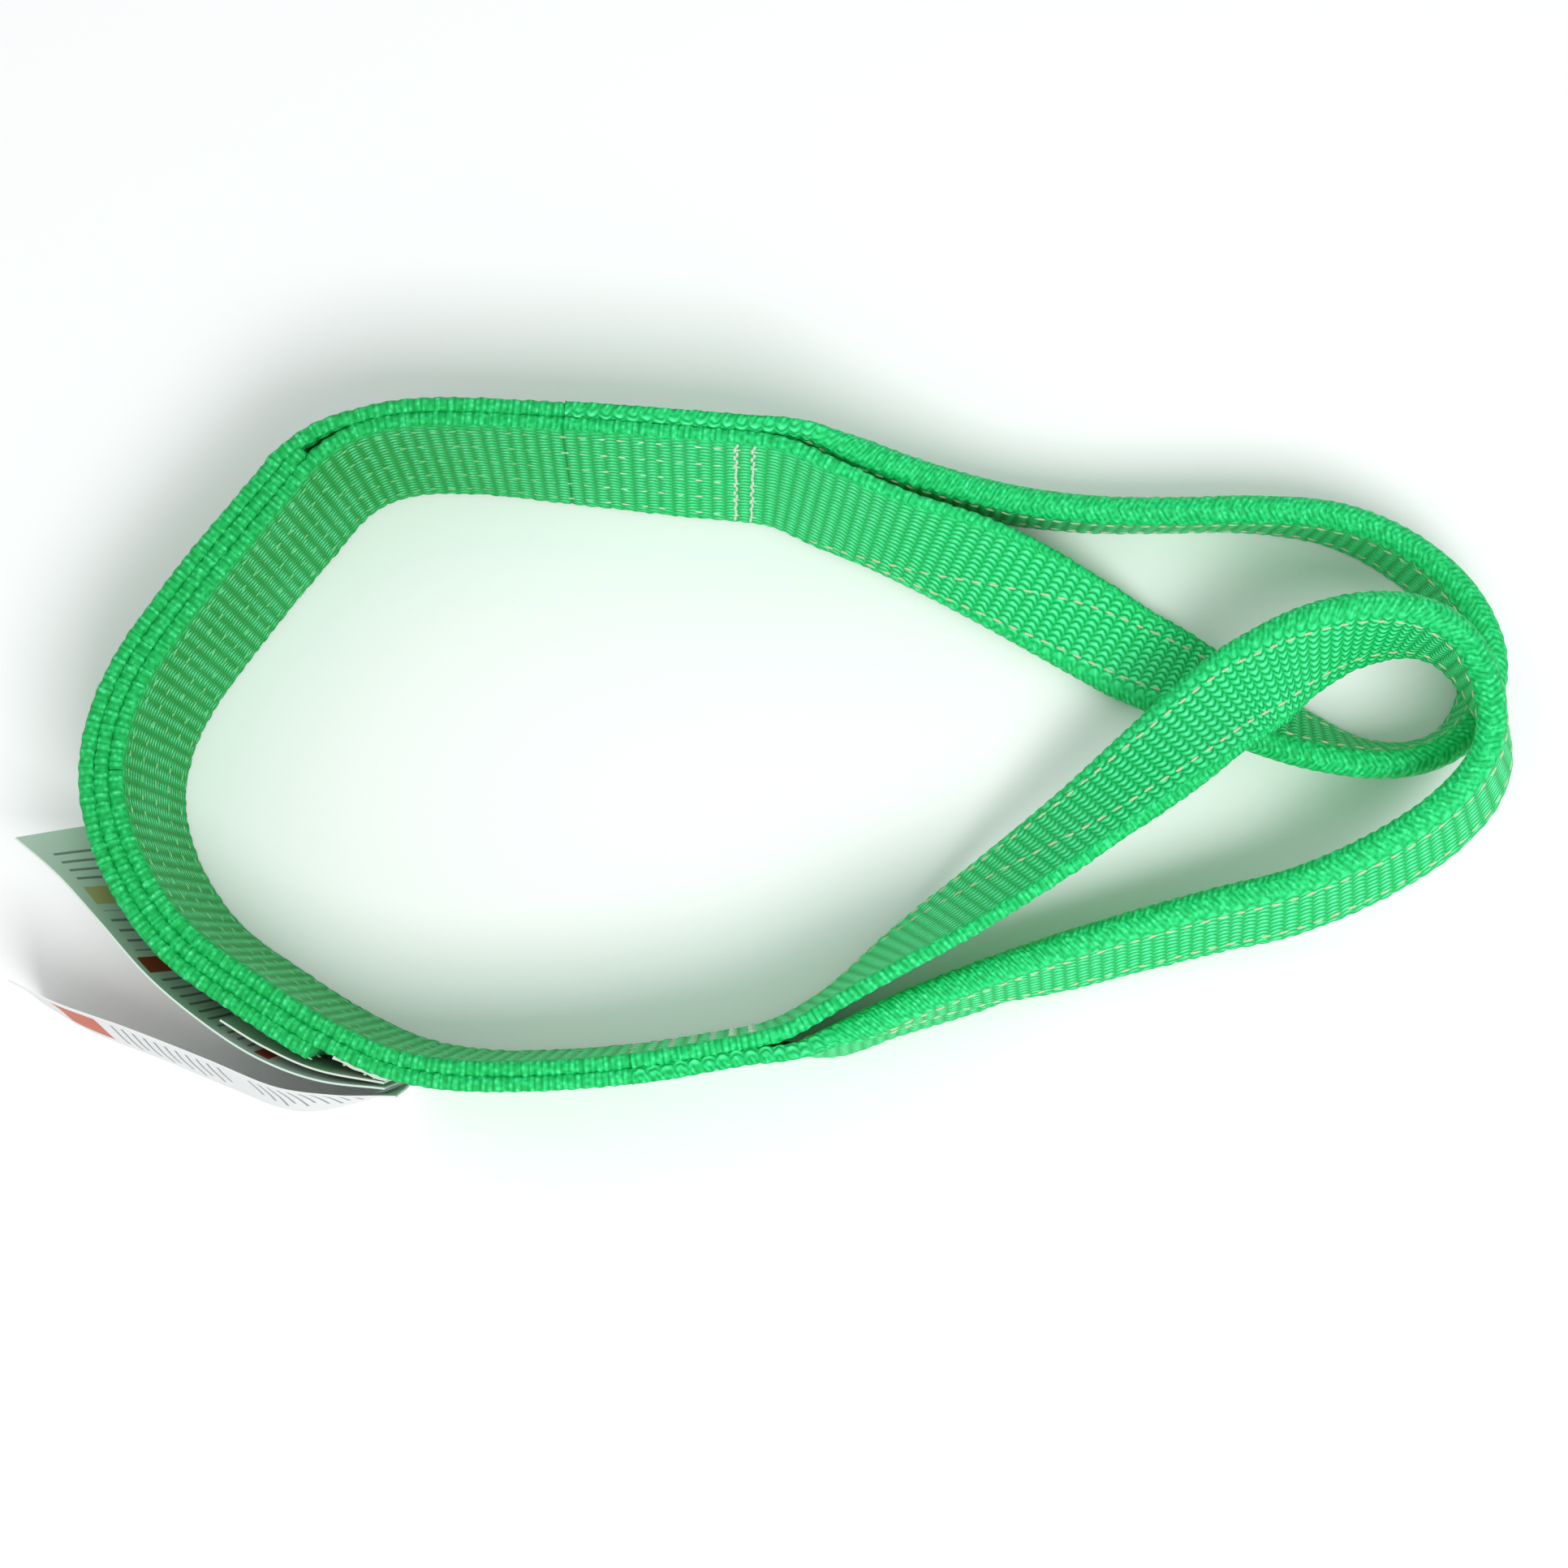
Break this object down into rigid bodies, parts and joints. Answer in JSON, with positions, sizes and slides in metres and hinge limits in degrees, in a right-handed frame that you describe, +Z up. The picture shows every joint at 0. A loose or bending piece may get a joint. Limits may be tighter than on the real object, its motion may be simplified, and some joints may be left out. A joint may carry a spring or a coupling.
{
  "type": "flat web sling",
  "caption": "Flat woven web lifting sling with twisted, folded eyes at both ends, layered sewn body and three sewn-on tags, lying on its edge.",
  "frame": {"origin": "on the supporting surface, under the middle of the whole sling as it lies on its edge", "axes": "+X from the bent body towards the two eyes, +Y towards the upper arm, +Z up across the web's width"},
  "size_m": [0.3976, 0.1859, 0.0549],
  "materials": {
    "web": "matt woven polyester, vivid green",
    "thread": "matt cream thread",
    "tag": "plain pale sheet"
  },
  "bodies": {
    "centre": {"centre_main_web": "web", "centre_lower_tail_web": "web", "centre_upper_tail_web": "web", "centre_needle_thread": "thread", "centre_bobbin_thread": "thread", "upper_tail_end_seam": "thread", "tag_sewn_ends": "tag"},
    "upper_arm": {"upper_arm_main_web": "web", "upper_arm_tail_web": "web", "upper_arm_needle_thread": "thread", "upper_arm_bobbin_thread": "thread", "upper_throat_seam": "thread"},
    "lower_arm": {"lower_arm_main_web": "web", "lower_arm_tail_web": "web", "lower_arm_needle_thread": "thread", "lower_arm_bobbin_thread": "thread", "lower_throat_seam": "thread"},
    "upper_eye": {"upper_eye_web": "web", "upper_eye_fold_seam": "thread", "upper_eye_edge_seam": "thread"},
    "lower_eye": {"lower_eye_web": "web", "lower_eye_fold_seam": "thread", "lower_eye_edge_seam": "thread"},
    "cover_tag": {"cover_tag": "tag"},
    "care_tag": {"care_tag": "tag"},
    "rating_tag": {"rating_tag": "tag"}
  },
  "joints": [
    {"name": "upper_crease", "type": "hinge", "parent": "centre", "child": "upper_arm", "pos_m": [-0.1155, 0.0793, 0.025], "axis": [0, 0, 1], "range_deg": [0, 25]},
    {"name": "lower_crease", "type": "hinge", "parent": "centre", "child": "lower_arm", "pos_m": [-0.0916, -0.0799, 0.025], "axis": [0, 0, -1], "range_deg": [0, 25]},
    {"name": "upper_throat", "type": "hinge", "parent": "upper_arm", "child": "upper_eye", "pos_m": [0.0008, 0.0796, 0.025], "axis": [0, 0, 1], "range_deg": [0, 15]},
    {"name": "lower_throat", "type": "hinge", "parent": "lower_arm", "child": "lower_eye", "pos_m": [-0.0015, -0.0748, 0.025], "axis": [0, 0, -1], "range_deg": [0, 15]},
    {"name": "rating_tag_swing", "type": "hinge", "parent": "centre", "child": "rating_tag", "pos_m": [-0.097, -0.0868, 0.0225], "axis": [0, 0, 1], "range_deg": [0, 40]},
    {"name": "care_tag_swing", "type": "hinge", "parent": "centre", "child": "care_tag", "pos_m": [-0.097, -0.0854, 0.0225], "axis": [0, 0, 1], "range_deg": [0, 24]},
    {"name": "cover_tag_swing", "type": "hinge", "parent": "centre", "child": "cover_tag", "pos_m": [-0.097, -0.084, 0.0225], "axis": [0, 0, 1], "range_deg": [0, 10]}
  ],
  "couplings": [
    {"joint": "care_tag_swing", "follows": "rating_tag_swing", "ratio": 0.6},
    {"joint": "cover_tag_swing", "follows": "rating_tag_swing", "ratio": 0.25}
  ]
}
